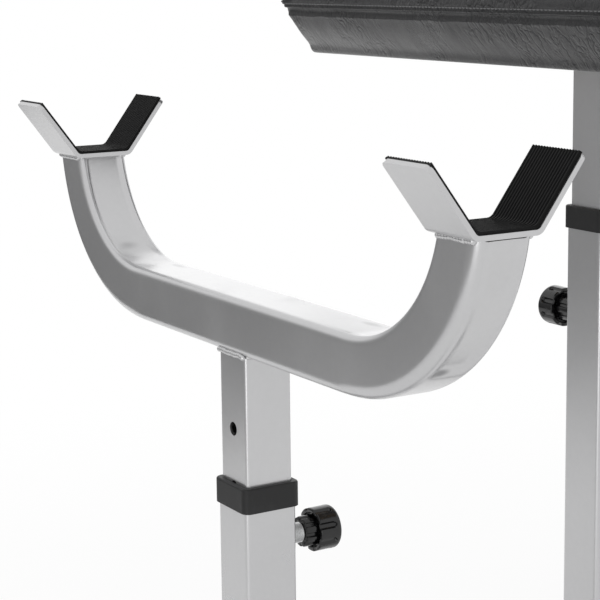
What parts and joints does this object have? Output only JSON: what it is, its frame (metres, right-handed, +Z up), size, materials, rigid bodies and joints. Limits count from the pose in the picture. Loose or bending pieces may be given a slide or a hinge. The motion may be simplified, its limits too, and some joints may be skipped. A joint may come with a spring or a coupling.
{
  "type": "preacher curl bench",
  "caption": "Preacher curl bench: a sloping arm pad, a seat and a U-shaped barbell rest with rubber-lined V cradles, each on a square telescoping post locked by a spring pull pin.",
  "frame": {"origin": "on the floor, under the middle of the bench's bounding box", "axes": "+X along the barbell, +Y from the bar rest back to the seat, +Z up"},
  "size_m": [0.7002, 0.9934, 1.0494],
  "materials": {
    "silver_paint": "gloss",
    "black_plastic": "satin",
    "ribbed_rubber": "matte",
    "floor_rubber": "matte",
    "leatherette": "satin",
    "plywood": "matte",
    "spring_steel": "satin",
    "zinc_steel": "satin"
  },
  "bodies": {
    "base_frame": {"base_rail": "silver_paint", "rail_flanges": "silver_paint", "front_foot": "silver_paint", "rear_foot": "silver_paint", "foot_caps": "black_plastic", "floor_pads": "floor_rubber", "foot_bolts": "zinc_steel", "foot_washers": "zinc_steel", "foot_nuts": "zinc_steel", "gussets": "silver_paint", "bar_upright": "silver_paint", "pad_upright": "silver_paint", "seat_upright": "silver_paint", "bar_collar": "black_plastic", "pad_collar": "black_plastic", "seat_collar": "black_plastic", "pin_nuts": "zinc_steel", "pin_sleeves": "zinc_steel", "pin_caps": "black_plastic", "bar_spring": "spring_steel", "pad_spring": "spring_steel", "seat_spring": "spring_steel"},
    "bar_rest": {"bar_post": "silver_paint", "bar_glide": "black_plastic", "bar_rest_tube": "silver_paint", "left_cradle": "silver_paint", "right_cradle": "silver_paint", "left_liner": "ribbed_rubber", "right_liner": "ribbed_rubber"},
    "arm_pad": {"pad_post": "silver_paint", "pad_glide": "black_plastic", "pad_bracket": "silver_paint", "pad_board": "plywood", "pad_cushion": "leatherette", "pad_screws": "zinc_steel", "pad_washers": "zinc_steel", "pad_tee_nuts": "zinc_steel"},
    "seat": {"seat_post": "silver_paint", "seat_glide": "black_plastic", "seat_bracket": "silver_paint", "seat_board": "plywood", "seat_cushion": "leatherette", "seat_screws": "zinc_steel", "seat_washers": "zinc_steel", "seat_tee_nuts": "zinc_steel"},
    "bar_pull_pin": {"bar_pin": "zinc_steel", "bar_knob": "black_plastic"},
    "pad_pull_pin": {"pad_pin": "zinc_steel", "pad_knob": "black_plastic"},
    "seat_pull_pin": {"seat_pin": "zinc_steel", "seat_knob": "black_plastic"}
  },
  "joints": [
    {"name": "bar_height", "type": "slide", "parent": "base_frame", "child": "bar_rest", "axis": [0, 0, 1], "range_m": [-0.104, 0.208]},
    {"name": "pad_height", "type": "slide", "parent": "base_frame", "child": "arm_pad", "axis": [0, 0, 1], "range_m": [-0.09, 0.09]},
    {"name": "seat_height", "type": "slide", "parent": "base_frame", "child": "seat", "axis": [0, 0, 1], "range_m": [-0.075, 0.075]},
    {"name": "bar_pin_pull", "type": "slide", "parent": "base_frame", "child": "bar_pull_pin", "axis": [0, 1, 0], "range_m": [0, 0.01], "stiffness_N_per_m": 900, "springref_m": -0.01, "deforming": ["bar_spring"]},
    {"name": "pad_pin_pull", "type": "slide", "parent": "base_frame", "child": "pad_pull_pin", "axis": [-1, 0, 0], "range_m": [0, 0.01], "stiffness_N_per_m": 900, "springref_m": -0.01, "deforming": ["pad_spring"]},
    {"name": "seat_pin_pull", "type": "slide", "parent": "base_frame", "child": "seat_pull_pin", "axis": [-1, 0, 0], "range_m": [0, 0.01], "stiffness_N_per_m": 900, "springref_m": -0.01, "deforming": ["seat_spring"]}
  ]
}
